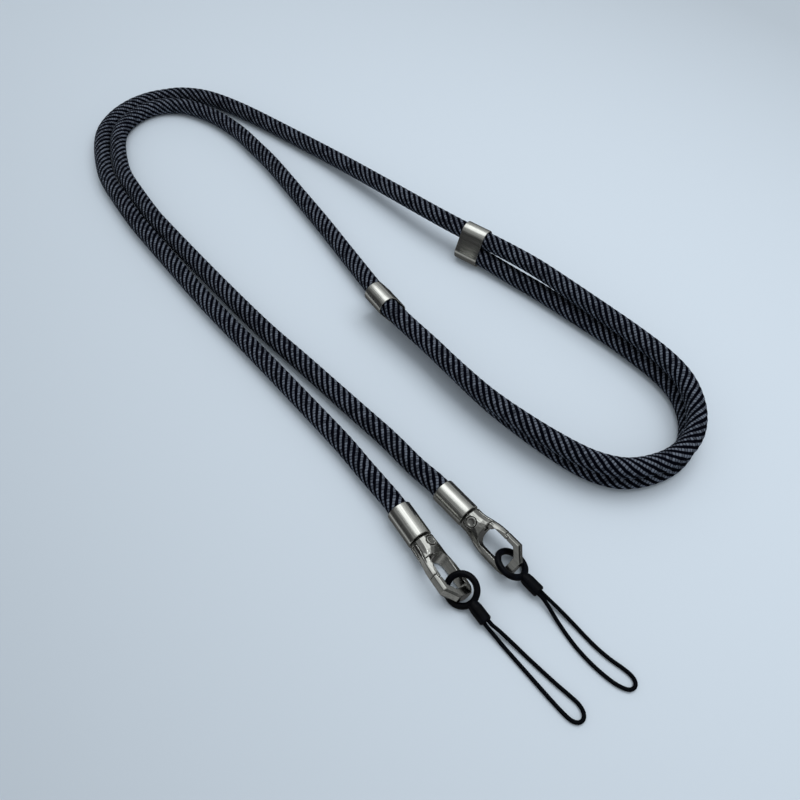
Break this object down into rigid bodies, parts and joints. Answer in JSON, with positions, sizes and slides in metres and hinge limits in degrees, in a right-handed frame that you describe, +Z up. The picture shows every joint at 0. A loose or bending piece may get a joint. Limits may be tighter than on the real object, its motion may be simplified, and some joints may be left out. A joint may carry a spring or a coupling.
{
  "type": "phone crossbody strap",
  "caption": "Slip-adjusting braided rope crossbody strap with metal sliders, and swivel snap hooks that carry rubber rings and tether loops for a phone case.",
  "frame": {"origin": "middle of the base of the box round all hard pieces, on the surface the strap lies on", "axes": "+Z up from the surface; +Y away from the clasps towards the far end of the strap; +X to the right, as the strap is seen from the clasps' side"},
  "size_m": [0.2687, 0.3177, 0.0159],
  "materials": {
    "rope": "braided, heathered",
    "slider_metal": "brushed nickel",
    "cap_metal": "brushed nickel",
    "hook_metal": "satin nickel",
    "rubber": "moulded, half matte",
    "tether": "thin braided cord"
  },
  "bodies": {
    "strap": {"rope_outer": "rope", "rope_inner": "rope", "slider_upper": "slider_metal", "slider_middle": "slider_metal", "cap_left": "cap_metal", "cap_right": "cap_metal"},
    "clasp_left": {"hook_left": "hook_metal", "stud_left": "hook_metal", "ring_left": "rubber", "tether_left": "tether"},
    "latch_left": {"gate_left": "hook_metal"},
    "clasp_right": {"hook_right": "hook_metal", "stud_right": "hook_metal", "ring_right": "rubber", "tether_right": "tether"},
    "latch_right": {"gate_right": "hook_metal"}
  },
  "joints": [
    {"name": "swivel_left", "type": "hinge", "parent": "strap", "child": "clasp_left", "pos_m": [-0.0093, -0.06003, 0.0046], "axis": [0.5446, -0.8387, 0], "continuous": true},
    {"name": "gate_left_hinge", "type": "hinge", "parent": "clasp_left", "child": "latch_left", "pos_m": [-0.01002, -0.0636, 0.00619], "axis": [0.4444, 0.2886, 0.848], "range_deg": [0, 18], "stiffness_Nm_per_rad": 0.003, "springref_deg": -28.65},
    {"name": "swivel_right", "type": "hinge", "parent": "strap", "child": "clasp_right", "pos_m": [0.0078, -0.05103, 0.0046], "axis": [0.6494, -0.7604, 0], "continuous": true},
    {"name": "gate_right_hinge", "type": "hinge", "parent": "clasp_right", "child": "latch_right", "pos_m": [0.01143, -0.05135, 0.00617], "axis": [0.3973, 0.3393, -0.8526], "range_deg": [0, 18], "stiffness_Nm_per_rad": 0.003, "springref_deg": -28.65}
  ]
}
